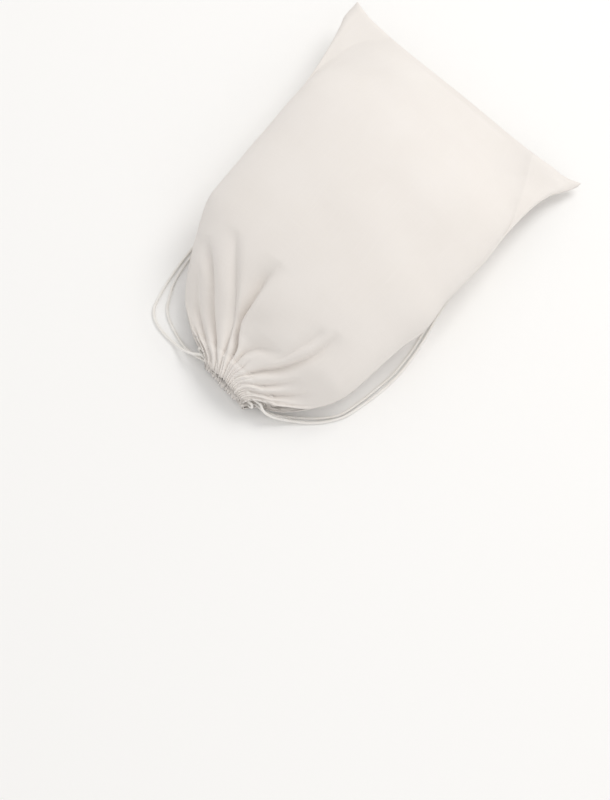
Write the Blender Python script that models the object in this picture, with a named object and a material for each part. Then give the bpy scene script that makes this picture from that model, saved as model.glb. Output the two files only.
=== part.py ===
"""A filled and cinched cloth drawstring bag that lies on its back panel.

Units are metres and +Z is up. X runs across the bag, +Y runs from the gathered
mouth to the bottom seam, and z = 0 is the surface that the bag lies on. The origin
is on the flat of the back panel, under the middle of the bag.
"""

import math
from collections import namedtuple

import bmesh
import bpy
import numpy as np

# Size of the filled bag
FILLED_LENGTH = 0.269
FILLED_WIDTH = 0.174
FILLED_HEIGHT = 0.069

# Cloth, seams and the gap that separates two pieces
CLOTH = 0.001
PIECE_GAP = 0.0003
SEAM_RIDGE = 0.003
BOTTOM_SAG = 0.0095
BOTTOM_SKEW = 0.003
CROWN_ROUNDNESS = 1.0
BELLY_ROUNDNESS = 1.4
NECK_ROUNDNESS = 3.0
NECK_END = 0.16
RIM_SKEW = 0.0028

# The wall's thickness is measured level with the floor, so it leans along the bag
# where the surface falls steeply: at the bottom from BOTTOM_TURN on, and in the neck
# up to NECK_TURN, there by a share of NECK_LEAN.
BOTTOM_TURN = 0.80
NECK_TURN = 0.2
NECK_LEAN = 0.7

# Drawstring casing, which is the hem folded round the cords
CASING_DEPTH = 0.014
CASING_PUCKER = 0.0013
GATHER_COUNT = 9
GATHER_HEIGHT = 0.0019
GATHER_REACH = 0.034

# Drawcords and their knots. Steps, and the bend that a cord makes past the far end of
# the casing, are multiples of the cord's own diameter.
CORD_DIAMETER = 0.002
CORD_ROOM = 0.0006
CORD_STEP = 2.9
BEND_RADIUS = 0.65
BEND_CLEAR = 0.6
KNOT_CORD = 0.0026
KNOT_STEP = 0.62

# Depth in the casing at which each cord lies, as a share of the casing's depth
LEFT_CORD_DEPTH = 0.26
RIGHT_CORD_DEPTH = 0.50

# Number of steps that the smooth surfaces are cut into
BODY_COLUMNS = 36
PANEL_ROWS = 20
FLAP_COLUMNS = 2
CHANNEL_POINTS = 15
ROW_EASE = 0.45
ROUTE_SAMPLES = 40
SHARP_DEGREES = 50

# One row for each section across the bag, from the rim (0) to the bottom seam (1).
# left, right and flap are shares of FILLED_WIDTH. The other lengths are shares of
# FILLED_HEIGHT: the heights of the left seam, the middle and the right seam, then
# how far the front panel rises and the back panel falls from there.
Section = namedtuple(
    "Section", "along left right flap left_z middle_z right_z crown belly"
)
SECTIONS = [
    Section(0.00, -0.052, 0.163, 0.000, 0.145, 0.145, 0.145, 0.065, 0.040),
    Section(0.02, -0.092, 0.188, 0.002, 0.147, 0.147, 0.147, 0.085, 0.042),
    Section(0.05, -0.190, 0.278, 0.006, 0.150, 0.150, 0.150, 0.135, 0.046),
    Section(0.10, -0.296, 0.374, 0.014, 0.190, 0.185, 0.178, 0.270, 0.160),
    Section(0.17, -0.371, 0.448, 0.017, 0.320, 0.290, 0.260, 0.370, 0.315),
    Section(0.25, -0.433, 0.471, 0.017, 0.435, 0.390, 0.333, 0.430, 0.470),
    Section(0.33, -0.477, 0.489, 0.017, 0.507, 0.450, 0.391, 0.455, 0.580),
    Section(0.42, -0.487, 0.514, 0.017, 0.536, 0.478, 0.420, 0.480, 0.640),
    Section(0.50, -0.498, 0.502, 0.017, 0.536, 0.493, 0.435, 0.490, 0.660),
    Section(0.63, -0.514, 0.504, 0.017, 0.522, 0.478, 0.420, 0.480, 0.640),
    Section(0.75, -0.548, 0.484, 0.023, 0.478, 0.435, 0.362, 0.440, 0.570),
    Section(0.85, -0.589, 0.477, 0.050, 0.435, 0.391, 0.275, 0.350, 0.430),
    Section(0.92, -0.625, 0.487, 0.103, 0.406, 0.377, 0.188, 0.225, 0.340),
    Section(0.96, -0.647, 0.511, 0.155, 0.391, 0.370, 0.145, 0.125, 0.210),
    Section(1.00, -0.652, 0.534, 0.207, 0.377, 0.362, 0.116, 0.000, 0.000),
]

# One row for each main fold of the front panel: a valley from (from_along,
# from_across) to (to_along, to_across). along is a share of the length and across
# runs from -1 at the left flank to 1 at the right one. width is a share of
# FILLED_WIDTH and depth a share of FILLED_HEIGHT; a negative depth is a ridge. A fold
# deepens over FOLD_RISE and runs out over FOLD_FALL, both shares of its own length.
Fold = namedtuple("Fold", "from_along from_across to_along to_across width depth")
FOLD_RISE = (-0.1, 0.2)
FOLD_FALL = (0.6, 1.1)
FOLDS = [
    Fold(0.07, -0.53, 0.21, -0.80, 0.026, 0.050),
    Fold(0.07, -0.28, 0.25, -0.55, 0.024, 0.035),
    Fold(0.07, -0.12, 0.25, -0.12, 0.030, 0.075),
    Fold(0.07, 0.03, 0.13, 0.41, 0.030, 0.045),
    Fold(0.12, 0.15, 0.22, 0.30, 0.080, -0.030),
    Fold(0.07, 0.37, 0.24, 0.72, 0.032, 0.060),
    Fold(0.05, 0.62, 0.12, 0.75, 0.026, 0.035),
]

# Routes of the four cord ends, chosen by hand: from past the end of the casing to
# where the knot takes the cord. The height is that of the cord's middle.
LEFT_FRONT_ROUTE = [
    (-0.0218, -0.1300, 0.0105),
    (-0.0270, -0.1304, 0.0078),
    (-0.0340, -0.1300, 0.0040),
    (-0.0410, -0.1292, 0.0017),
    (-0.0480, -0.1285, 0.0011),
    (-0.0564, -0.1267, 0.0011),
    (-0.0639, -0.1228, 0.0011),
    (-0.0688, -0.1172, 0.0011),
    (-0.0723, -0.1070, 0.0011),
    (-0.0758, -0.0927, 0.0011),
    (-0.0785, -0.0760, 0.0011),
    (-0.0800, -0.0580, 0.0011),
    (-0.0805, -0.0350, 0.0011),
    (-0.0812, -0.0100, 0.0011),
    (-0.0822, 0.0120, 0.0011),
    (-0.0824, 0.0290, 0.0016),
]
LEFT_BACK_ROUTE = [
    (-0.0218, -0.1283, 0.0058),
    (-0.0270, -0.1276, 0.0036),
    (-0.0350, -0.1262, 0.0014),
    (-0.0439, -0.1230, 0.0011),
    (-0.0516, -0.1196, 0.0011),
    (-0.0572, -0.1164, 0.0011),
    (-0.0622, -0.1115, 0.0011),
    (-0.0666, -0.1040, 0.0011),
    (-0.0709, -0.0952, 0.0011),
    (-0.0739, -0.0845, 0.0011),
    (-0.0760, -0.0700, 0.0011),
    (-0.0770, -0.0520, 0.0011),
    (-0.0773, -0.0300, 0.0011),
    (-0.0782, -0.0080, 0.0011),
    (-0.0797, 0.0120, 0.0011),
    (-0.0800, 0.0290, 0.0016),
]
RIGHT_FRONT_ROUTE = [
    (0.0422, -0.1316, 0.0104),
    (0.0485, -0.1290, 0.0064),
    (0.0589, -0.1214, 0.0026),
    (0.0686, -0.1139, 0.0011),
    (0.0766, -0.1051, 0.0011),
    (0.0823, -0.0954, 0.0011),
    (0.0858, -0.0814, 0.0011),
    (0.0884, -0.0663, 0.0011),
    (0.0895, -0.0513, 0.0011),
    (0.0888, -0.0390, 0.0011),
    (0.0874, -0.0270, 0.0011),
    (0.0850, -0.0140, 0.0011),
    (0.0818, 0.0000, 0.0011),
    (0.0796, 0.0140, 0.0011),
    (0.0780, 0.0280, 0.0011),
    (0.0774, 0.0400, 0.0016),
]
RIGHT_BACK_ROUTE = [
    (0.0420, -0.1296, 0.0056),
    (0.0480, -0.1252, 0.0024),
    (0.0582, -0.1177, 0.0011),
    (0.0697, -0.1086, 0.0011),
    (0.0788, -0.0975, 0.0011),
    (0.0828, -0.0822, 0.0011),
    (0.0854, -0.0650, 0.0011),
    (0.0866, -0.0500, 0.0011),
    (0.0858, -0.0360, 0.0011),
    (0.0838, -0.0220, 0.0011),
    (0.0808, -0.0080, 0.0011),
    (0.0779, 0.0070, 0.0011),
    (0.0758, 0.0220, 0.0011),
    (0.0750, 0.0400, 0.0016),
]

# Route of an overhand knot that lies flat: three lobes that pass over and under each
# other, with the cords' own ends beside the place where the cords come in. Lengths are
# multiples of KNOT_CORD, and +y is the side of the bag's middle.
KNOT_ROUTE = [
    (-3.30, -1.60, -0.62),
    (-2.20, -1.45, -0.62),
    (-1.15, -1.19, -0.58),
    (-0.03, -0.93, -0.46),
    (0.71, -0.48, 0.39),
    (1.56, 0.28, 0.60),
    (1.47, 1.41, 0.26),
    (0.55, 1.98, -0.23),
    (-0.49, 1.54, -0.59),
    (-0.78, 0.43, -0.42),
    (-0.78, -0.43, 0.42),
    (-0.49, -1.54, 0.59),
    (0.55, -1.98, 0.23),
    (1.47, -1.41, -0.26),
    (1.56, -0.28, -0.60),
    (0.71, 0.48, -0.39),
    (-0.03, 0.93, 0.46),
    (-1.15, 1.19, 0.58),
    (-2.15, 1.45, 0.20),
    (-3.10, 1.62, -0.45),
    (-4.10, 1.70, -0.62),
]

HALF_CHANNEL = CORD_DIAMETER / 2 + CORD_ROOM + CLOTH
CASING_SHARE = CASING_DEPTH / FILLED_LENGTH
PANEL_START = (CASING_DEPTH + PIECE_GAP) / FILLED_LENGTH
SLIT_SHARE = CASING_DEPTH / FILLED_LENGTH
FRONT, BACK = 1.0, -1.0


def clear_scene():
    for thing in list(bpy.data.objects):
        bpy.data.objects.remove(thing, do_unlink=True)


def make_material(name, color, roughness):
    material = bpy.data.materials.new(name)
    material.use_nodes = True
    shader = material.node_tree.nodes["Principled BSDF"]
    shader.inputs["Base Color"].default_value = (*color, 1.0)
    shader.inputs["Roughness"].default_value = roughness
    return material


def slopes_of(places, values):
    """Slopes at the rows of a table that keep a cubic between them from overshooting."""
    steps = np.diff(places)
    rises = np.diff(values) / steps
    slopes = np.empty(len(values))
    slopes[0], slopes[-1] = rises[0], rises[-1]
    for i in range(1, len(rises)):
        before, after = rises[i - 1], rises[i]
        slopes[i] = 0.0 if before * after <= 0 else 2 * before * after / (before + after)
    return slopes


def section_value(name, along):
    """One column of SECTIONS, read smoothly at any share of the length."""
    places = np.array([row.along for row in SECTIONS])
    values = np.array([getattr(row, name) for row in SECTIONS])
    slopes = slopes_of(places, values)
    along = np.clip(along, 0.0, 1.0)
    i = np.clip(np.searchsorted(places, along, side="right") - 1, 0, len(places) - 2)
    step = places[i + 1] - places[i]
    t = (along - places[i]) / step
    return (
        values[i] * (1 + 2 * t) * (1 - t) ** 2
        + slopes[i] * step * t * (1 - t) ** 2
        + values[i + 1] * t * t * (3 - 2 * t)
        + slopes[i + 1] * step * t * t * (t - 1)
    )


def smooth_step(low, high, value):
    t = np.clip((value - low) / (high - low), 0.0, 1.0)
    return t * t * (3 - 2 * t)


def plan_place(along, turn, flap):
    """Plan place and base height. turn is the angle round the section, flap the seam flap."""
    left = section_value("left", along) * FILLED_WIDTH
    right = section_value("right", along) * FILLED_WIDTH
    flap_width = section_value("flap", along) * FILLED_WIDTH
    half_body = (right - left) / 2 - flap_width
    x = (left + right) / 2 + half_body * np.sin(turn) + flap_width * flap
    across = np.clip((x - (left + right) / 2) / ((right - left) / 2), -1.0, 1.0)
    rim_y = -FILLED_LENGTH / 2 - RIM_SKEW * across
    seam_y = FILLED_LENGTH / 2 + BOTTOM_SAG * across**4 - BOTTOM_SKEW * across
    y = rim_y + np.clip(along, 0.0, 1.0) * (seam_y - rim_y)
    left_z = section_value("left_z", along)
    middle_z = section_value("middle_z", along)
    right_z = section_value("right_z", along)
    mean = (left_z + right_z) / 2
    lean = (right_z - left_z) / 2
    base = middle_z + lean * across + (mean - middle_z) * across**2
    return x, y, base * FILLED_HEIGHT


def round_share(side, along, turn):
    """Share of the full swell at an angle. The neck is flat at its ends, the body round."""
    body = CROWN_ROUNDNESS if side == FRONT else BELLY_ROUNDNESS
    neck = 1 - smooth_step(CASING_SHARE, NECK_END, along)
    cosine = np.cos(turn)
    return np.sign(cosine) * np.abs(cosine) ** (body + (NECK_ROUNDNESS - body) * neck)


def layer_surface(side, along, turn, flap, inward):
    """Outer (inward 0) or inner (inward 1) face of the front or back layer, unfolded."""
    x, y, base = plan_place(along, turn, flap)
    slit = (HALF_CHANNEL - CLOTH / 2) * (
        1 - smooth_step(PANEL_START, PANEL_START + SLIT_SHARE, along)
    )
    swell = section_value("crown" if side == FRONT else "belly", along) * FILLED_HEIGHT
    swell = swell * round_share(side, along, turn)
    rise = PIECE_GAP / 2 + slit + CLOTH * (1 - inward) + swell
    steep = smooth_step(BOTTOM_TURN, 1.0, along)
    steep = steep - NECK_LEAN * smooth_step(NECK_TURN, PANEL_START, along)
    x = x - inward * CLOTH * np.sin(turn) * (1 - np.abs(flap))
    y = y - inward * CLOTH * np.cos(turn) * steep
    z = np.maximum(base + side * rise, CLOTH * inward)
    return np.stack([x, y, z], axis=-1)


def unit(vectors):
    return vectors / np.linalg.norm(vectors, axis=-1, keepdims=True)


def outward(side, along, turn, flap):
    """Outward direction of a layer, from small steps along it and round it."""
    small = 1e-3
    ahead = layer_surface(side, along + small, turn, flap, 0)
    behind = layer_surface(side, along - small, turn, flap, 0)
    far = layer_surface(side, along, turn + small, flap, 0)
    near = layer_surface(side, along, turn - small, flap, 0)
    return side * unit(np.cross(far - near, ahead - behind) + 1e-15)


def gather_wave(turn):
    """A wave with GATHER_COUNT crests between the flanks, and a crest on each flank."""
    return np.cos(2 * GATHER_COUNT * (turn + math.pi / 2))


def gather_relief(along, turn):
    from_rim = along * FILLED_LENGTH - CASING_DEPTH
    fade = np.exp(-((from_rim / GATHER_REACH) ** 2))
    return GATHER_HEIGHT * fade * 0.5 * (gather_wave(turn) - 1) * np.cos(turn) ** 0.5


def fold_relief(along, turn):
    """Depth of the main folds of the front panel at a place."""
    x, y, _ = plan_place(along, turn, 0.0)
    depth = np.zeros(np.broadcast(along, turn).shape)
    for fold in FOLDS:
        ends = []
        for place, across in (
            (fold.from_along, fold.from_across),
            (fold.to_along, fold.to_across),
        ):
            end_x, end_y, _ = plan_place(place, math.asin(across), 0.0)
            ends.append((float(end_x), float(end_y)))
        (x0, y0), (x1, y1) = ends
        length = math.hypot(x1 - x0, y1 - y0)
        t = ((x - x0) * (x1 - x0) + (y - y0) * (y1 - y0)) / length**2
        aside = ((x - x0) * (y1 - y0) - (y - y0) * (x1 - x0)) / length
        window = smooth_step(*FOLD_RISE, t) * (1 - smooth_step(*FOLD_FALL, t))
        bell = np.exp(-((aside / (fold.width * FILLED_WIDTH)) ** 2))
        depth = depth + fold.depth * FILLED_HEIGHT * bell * window
    return depth


def panel_columns(body_columns):
    """Angle and flap share of each column, from the left seam edge to the right one."""
    flaps = np.linspace(1.0, 0.0, FLAP_COLUMNS, endpoint=False)
    turns = np.linspace(-math.pi / 2, math.pi / 2, body_columns + 1)
    edge = np.full(FLAP_COLUMNS, math.pi / 2)
    still = np.zeros(body_columns + 1)
    return (
        np.concatenate([-edge, turns, edge]),
        np.concatenate([-flaps, still, flaps[::-1]]),
    )


def panel_rows():
    t = np.linspace(0.0, 1.0, PANEL_ROWS + 1)
    eased = (1 - ROW_EASE) * t + ROW_EASE * (1 - np.cos(math.pi * t)) / 2
    return PANEL_START + (1 - PANEL_START) * eased


def panel_faces(side, body_columns):
    """Outer and inner points of a panel, each a grid of rows by columns."""
    turn, flap = panel_columns(body_columns)
    turn, flap = turn[None, :], flap[None, :]
    along = panel_rows()[:, None]
    relief = gather_relief(along, turn)
    if side == FRONT:
        relief = relief - fold_relief(along, turn)
    relief = relief * (flap == 0.0)
    push = outward(side, along, turn, flap)
    push[..., 1] = 0.0
    faces = []
    for inward in (0, 1):
        points = layer_surface(side, along, turn, flap, inward)
        points = points + push * relief[..., None]
        points[..., 2] = np.maximum(points[..., 2], CLOTH * inward)
        ridge = points[-1:].copy()
        edge_x, edge_y, _ = plan_place(along[-1:], turn, flap)
        ridge[..., 0] = edge_x
        ridge[..., 1] = edge_y + SEAM_RIDGE
        faces.append(np.concatenate([points, ridge]))
    return faces


def add_mesh(name, points, faces, material):
    mesh = bpy.data.meshes.new(name)
    mesh.from_pydata([tuple(p) for p in points], [], faces)
    mesh.materials.append(material)
    mesh.validate()
    thing = bpy.data.objects.new(name, mesh)
    bpy.context.scene.collection.objects.link(thing)
    face_outward(mesh)
    mesh.shade_smooth()
    mesh.set_sharp_from_angle(angle=math.radians(SHARP_DEGREES))
    return thing


def face_outward(mesh):
    shell = bmesh.new()
    shell.from_mesh(mesh)
    bmesh.ops.recalc_face_normals(shell, faces=shell.faces)
    shell.to_mesh(mesh)
    shell.free()


def shell_faces(rows, columns):
    """Faces of a wall whose outer grid comes first and whose inner grid follows it."""
    inner = rows * columns

    def at(row, column, layer):
        return layer * inner + row * columns + column

    faces = []
    for row in range(rows - 1):
        for column in range(columns - 1):
            for layer in (0, 1):
                square = [
                    at(row, column, layer),
                    at(row, column + 1, layer),
                    at(row + 1, column + 1, layer),
                    at(row + 1, column, layer),
                ]
                faces.append(square if layer == 0 else square[::-1])
    for row in range(rows - 1):
        for column, flip in ((0, False), (columns - 1, True)):
            square = [
                at(row, column, 0),
                at(row + 1, column, 0),
                at(row + 1, column, 1),
                at(row, column, 1),
            ]
            faces.append(square[::-1] if flip else square)
    for column in range(columns - 1):
        for row, flip in ((0, True), (rows - 1, False)):
            square = [
                at(row, column, 0),
                at(row, column + 1, 0),
                at(row, column + 1, 1),
                at(row, column, 1),
            ]
            faces.append(square if flip else square[::-1])
    return faces


def make_panel(name, side, body_columns, material):
    outer, inner = panel_faces(side, body_columns)
    rows, columns = outer.shape[:2]
    points = np.concatenate([outer.reshape(-1, 3), inner.reshape(-1, 3)])
    return add_mesh(name, points, shell_faces(rows, columns), material)


def channel_middle(side, depth, turn):
    """Middle of the casing's channel. depth is a share of CASING_DEPTH from the rim."""
    along = depth * CASING_SHARE
    x, y, base = plan_place(along, turn, 0.0)
    swell = section_value("crown" if side == FRONT else "belly", along) * FILLED_HEIGHT
    rise = PIECE_GAP / 2 + HALF_CHANNEL + swell * round_share(side, along, turn)
    return np.stack(np.broadcast_arrays(x, y, base + side * rise), axis=-1)


# Outline of the folded hem, one row for each corner: share of the casing's depth
# and share of its half thickness, on the outer leaf (1) or the inner leaf (-1).
Corner = namedtuple("Corner", "depth leaf")
HEM_OUTLINE = [
    Corner(0.0, 0.0),
    Corner(0.10, 0.85),
    Corner(0.50, 1.0),
    Corner(0.90, 0.85),
    Corner(1.0, 0.0),
    Corner(0.90, -0.85),
    Corner(0.50, -1.0),
    Corner(0.10, -0.85),
]


def make_casing(name, side, columns, material):
    """A hem folded into a channel, open at both ends, with a pucker at each gather."""
    turns = np.linspace(-math.pi / 2, math.pi / 2, columns + 1)
    rings = []
    for turn in turns:
        pucker = CASING_PUCKER * 0.5 * (1 + gather_wave(turn)) * math.cos(turn)
        for wall in (0.0, CLOTH):
            for corner in HEM_OUTLINE:
                middle = channel_middle(side, corner.depth, turn)
                half = HALF_CHANNEL - wall
                bulge = pucker if corner.leaf > 0 else 0.0
                inset = wall * (1 - 2 * corner.depth)
                middle[1] += inset
                middle[2] += side * corner.leaf * (half + bulge)
                rings.append(middle)
    count = len(HEM_OUTLINE)
    faces = []
    for j in range(columns):
        for layer in (0, 1):
            here = (2 * j + layer) * count
            there = (2 * j + 2 + layer) * count
            for k in range(count):
                nxt = (k + 1) % count
                faces.append([here + k, here + nxt, there + nxt, there + k])
    for j in (0, columns):
        outer = 2 * j * count
        for k in range(count):
            nxt = (k + 1) % count
            faces.append([outer + k, outer + nxt, outer + count + nxt, outer + count + k])
    return add_mesh(name, rings, faces, material)


def smooth_route(route, step):
    """Points about one step apart on a smooth curve through the route's points."""
    route = np.array(route, dtype=float)
    padded = np.vstack([2 * route[0] - route[1], route, 2 * route[-1] - route[-2]])
    fine = []
    for i in range(1, len(padded) - 2):
        a, b, c, d = padded[i - 1 : i + 3]
        for t in np.linspace(0.0, 1.0, ROUTE_SAMPLES, endpoint=False):
            fine.append(
                0.5
                * (
                    2 * b
                    + (c - a) * t
                    + (2 * a - 5 * b + 4 * c - d) * t**2
                    + (3 * b - a - 3 * c + d) * t**3
                )
            )
    fine.append(padded[-2])
    fine = np.array(fine)
    run = np.concatenate([[0.0], np.cumsum(np.linalg.norm(np.diff(fine, axis=0), axis=1))])
    count = max(2, round(run[-1] / step))
    marks = np.linspace(0.0, run[-1], count + 1)
    return np.stack([np.interp(marks, run, fine[:, k]) for k in range(3)], axis=1)


def make_tube(name, points, diameter, material):
    curve = bpy.data.curves.new(name, "CURVE")
    curve.dimensions = "3D"
    curve.bevel_depth = diameter / 2
    curve.bevel_resolution = 2
    curve.use_fill_caps = True
    spline = curve.splines.new("POLY")
    spline.points.add(len(points) - 1)
    for target, point in zip(spline.points, points):
        target.co = (*point, 1.0)
    curve.materials.append(material)
    thing = bpy.data.objects.new(name, curve)
    bpy.context.scene.collection.objects.link(thing)
    return thing


def channel_route(leaving, depth):
    """A cord's way through both channels and back. leaving is -1 when both of its ends
    leave the casing on the left, and 1 when they leave on the right."""
    turns = np.linspace(leaving, -leaving, CHANNEL_POINTS) * math.pi / 2
    front = [channel_middle(FRONT, depth, turn) for turn in turns]
    back = [channel_middle(BACK, depth, turn) for turn in turns[::-1]]
    radius = BEND_RADIUS * CORD_DIAMETER
    clear = BEND_CLEAR * CORD_DIAMETER
    bend = []
    for end, sign in ((front[-1], 1), (back[0], -1)):
        quarter = []
        for angle in np.linspace(0.0, math.pi / 2, 3):
            out = -leaving * (clear + radius * math.sin(angle))
            fall = -sign * radius * (1 - math.cos(angle))
            quarter.append(end + np.array([out, 0.0, fall]))
        bend += quarter if sign == 1 else quarter[::-1]
    past = np.array([leaving * CORD_DIAMETER / 2, 0.0, 0.0])
    return [front[0] + past] + front + bend + back + [back[-1] + past]


def strand_route(route, leaving, side, depth):
    """A cord end's route, starting just past the cord in the casing."""
    start = channel_middle(side, depth, leaving * math.pi / 2)
    start = start + np.array([leaving * (CORD_DIAMETER / 2 + PIECE_GAP), 0.0, 0.0])
    straight = start + np.array([leaving * CORD_DIAMETER, 0.0, 0.0])
    points = [tuple(start), tuple(straight)] + route
    return smooth_route(points, CORD_STEP * CORD_DIAMETER)


def knot_points(first, second, leaving):
    """Middle line of the knot that takes the cords whose last two points are given."""
    ends = (first[-1] + second[-1]) / 2
    before = (first[-2] + second[-2]) / 2
    heading = unit(ends - before)
    across = leaving * np.array([-heading[1], heading[0], 0.0])
    route = np.array(KNOT_ROUTE) * KNOT_CORD
    low = route[:, 2].min() - KNOT_CORD / 2
    flat = np.array([heading[0], heading[1], 0.0])
    start = ends + flat * PIECE_GAP - flat * route[0, 0] - across * route[0, 1]
    points = start + np.outer(route[:, 0], flat) + np.outer(route[:, 1], across)
    points[:, 2] = route[:, 2] - low + PIECE_GAP / 3
    return smooth_route(points, KNOT_STEP * KNOT_CORD)


def make_cord(name, leaving, depth, front_route, back_route, material):
    """One drawcord: its run in the casing, its two free strands and their knot."""
    channel = channel_route(leaving, depth)
    front = strand_route(front_route, leaving, FRONT, depth)
    back = strand_route(back_route, leaving, BACK, depth)
    make_tube(f"{name}_in_casing", channel, CORD_DIAMETER, material)
    make_tube(f"{name}_front_strand", front, CORD_DIAMETER, material)
    make_tube(f"{name}_back_strand", back, CORD_DIAMETER, material)
    make_tube(f"{name}_knot", knot_points(front, back, leaving), KNOT_CORD, material)


def build():
    clear_scene()
    cloth = make_material("cotton_cloth", (0.74, 0.62, 0.50), 0.9)
    cord = make_material("cotton_cord", (0.80, 0.72, 0.60), 0.85)
    make_panel("front_panel", FRONT, BODY_COLUMNS, cloth)
    make_panel("back_panel", BACK, BODY_COLUMNS // 2, cloth)
    make_casing("front_casing", FRONT, BODY_COLUMNS // 2, cloth)
    make_casing("back_casing", BACK, BODY_COLUMNS // 2, cloth)
    make_cord(
        "left_drawcord", -1, LEFT_CORD_DEPTH, LEFT_FRONT_ROUTE, LEFT_BACK_ROUTE, cord
    )
    make_cord(
        "right_drawcord", 1, RIGHT_CORD_DEPTH, RIGHT_FRONT_ROUTE, RIGHT_BACK_ROUTE, cord
    )


build()
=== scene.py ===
# %% [markdown]
# # A filled cotton drawstring bag
#
# The bag is two panels of plain unbleached cotton, sewn together along the sides and
# the bottom and turned right side out. At the mouth each panel is folded over and
# sewn down to make a channel, and two thin cords run through both channels. The bag
# is full and its mouth is pulled shut, so it swells like a cushion and the cloth
# gathers into deep folds round the neck.
#
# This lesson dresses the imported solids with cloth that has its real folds, with
# twisted cords, knots and stitches. Lengths are metres, +Y runs from the mouth to the
# bottom seam and z = 0 is the surface that the bag lies on.

import math
import random

import bmesh
import bpy
import numpy as np
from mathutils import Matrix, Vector


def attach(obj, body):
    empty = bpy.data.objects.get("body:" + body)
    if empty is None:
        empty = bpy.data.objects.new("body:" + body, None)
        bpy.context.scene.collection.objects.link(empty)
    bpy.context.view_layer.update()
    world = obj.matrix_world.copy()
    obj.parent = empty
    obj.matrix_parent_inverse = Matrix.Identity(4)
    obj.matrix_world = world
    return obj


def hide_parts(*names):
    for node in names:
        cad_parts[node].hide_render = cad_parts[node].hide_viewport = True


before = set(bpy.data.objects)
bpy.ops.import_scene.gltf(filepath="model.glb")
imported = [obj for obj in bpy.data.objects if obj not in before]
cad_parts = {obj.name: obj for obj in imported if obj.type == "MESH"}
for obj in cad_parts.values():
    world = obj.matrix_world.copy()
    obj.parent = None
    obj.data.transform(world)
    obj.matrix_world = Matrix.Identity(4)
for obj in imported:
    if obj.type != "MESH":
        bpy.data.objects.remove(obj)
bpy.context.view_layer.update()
print("CAD nodes:", len(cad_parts))

# %% [markdown]
# ## The camera
#
# A product photographer stands over the stack and looks down at it. The lens is long,
# so parallel edges stay nearly parallel. The camera is placed by two angles and a
# distance from a point on the floor, because those are easy to read and to check.

# %% Camera
VIEW_AZIMUTH = math.radians(40.499)
VIEW_ELEVATION = math.radians(64.3646)
VIEW_DISTANCE = 1.475684
VIEW_TARGET = Vector((0.053787, -0.10375, 0.0))
LENS = 100.0
SENSOR_WIDTH = 36.0
CLIP_END = 20.0


def add_camera():
    back = Vector(
        (
            math.sin(VIEW_AZIMUTH) * math.cos(VIEW_ELEVATION),
            -math.cos(VIEW_AZIMUTH) * math.cos(VIEW_ELEVATION),
            math.sin(VIEW_ELEVATION),
        )
    )
    data = bpy.data.cameras.new("camera")
    data.lens = LENS
    data.sensor_width = SENSOR_WIDTH
    data.clip_end = CLIP_END
    camera = bpy.data.objects.new("camera", data)
    camera.location = VIEW_TARGET + back * VIEW_DISTANCE
    camera.rotation_euler = (-back).to_track_quat("-Z", "Y").to_euler()
    bpy.context.scene.collection.objects.link(camera)
    bpy.context.scene.camera = camera
    return camera


camera = add_camera()
print("camera at", [round(v, 3) for v in camera.location])

# %% [markdown]
# ## Floor and light
#
# The bag lies on a plain pale floor. Cotton looks soft only in soft light, so one
# large panel hangs above and behind the bag, a weaker one fills the side
# towards the camera, and a pale world lights everything else.

# %% Floor and light
FLOOR_SIZE = 6.0
KEY_POWER = 15.0
FILL_POWER = 2.0
WORLD_STRENGTH = 0.74


def add_area(name, place, aim, size, power, color):
    data = bpy.data.lights.new(name, "AREA")
    data.shape = "DISK"
    data.size = size
    data.energy = power
    data.color = color
    lamp = bpy.data.objects.new(name, data)
    lamp.location = place
    heading = Vector(aim) - Vector(place)
    lamp.rotation_euler = heading.to_track_quat("-Z", "Y").to_euler()
    bpy.context.scene.collection.objects.link(lamp)
    return lamp


def add_floor():
    mesh = bpy.data.meshes.new("floor")
    half = FLOOR_SIZE / 2
    mesh.from_pydata(
        [(-half, -half, 0), (half, -half, 0), (half, half, 0), (-half, half, 0)],
        [],
        [(0, 1, 2, 3)],
    )
    floor = bpy.data.objects.new("floor", mesh)
    bpy.context.scene.collection.objects.link(floor)
    material = bpy.data.materials.new("floor_paper")
    material.use_nodes = True
    shader = material.node_tree.nodes["Principled BSDF"]
    shader.inputs["Base Color"].default_value = (0.97, 0.966, 0.957, 1.0)
    shader.inputs["Roughness"].default_value = 0.9
    mesh.materials.append(material)
    return floor


floor = add_floor()
add_area("key", (0.25, 1.25, 1.65), (0.0, 0.0, 0.0), 1.3, KEY_POWER, (1.0, 0.99, 0.97))
add_area("fill", (1.5, -0.9, 1.1), (0.0, -0.05, 0.0), 1.6, FILL_POWER, (1.0, 0.99, 0.98))
world = bpy.data.worlds.new("studio")
world.use_nodes = True
world.node_tree.nodes["Background"].inputs["Color"].default_value = (1.0, 0.99, 0.98, 1)
world.node_tree.nodes["Background"].inputs["Strength"].default_value = WORLD_STRENGTH
bpy.context.scene.world = world
bpy.context.scene.view_settings.view_transform = "Standard"

# %% [markdown]
# ## The form of the filled bag
#
# A stuffed bag could be blown up by a cloth simulation, but the folds of one real bag
# would not come out of it. Here the form is a loft: a table gives, at fifteen places
# along the bag, how far its sides reach, how high its seams lie and how far each panel
# swells from them. A smooth curve that doesn't overshoot runs through each column.

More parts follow.
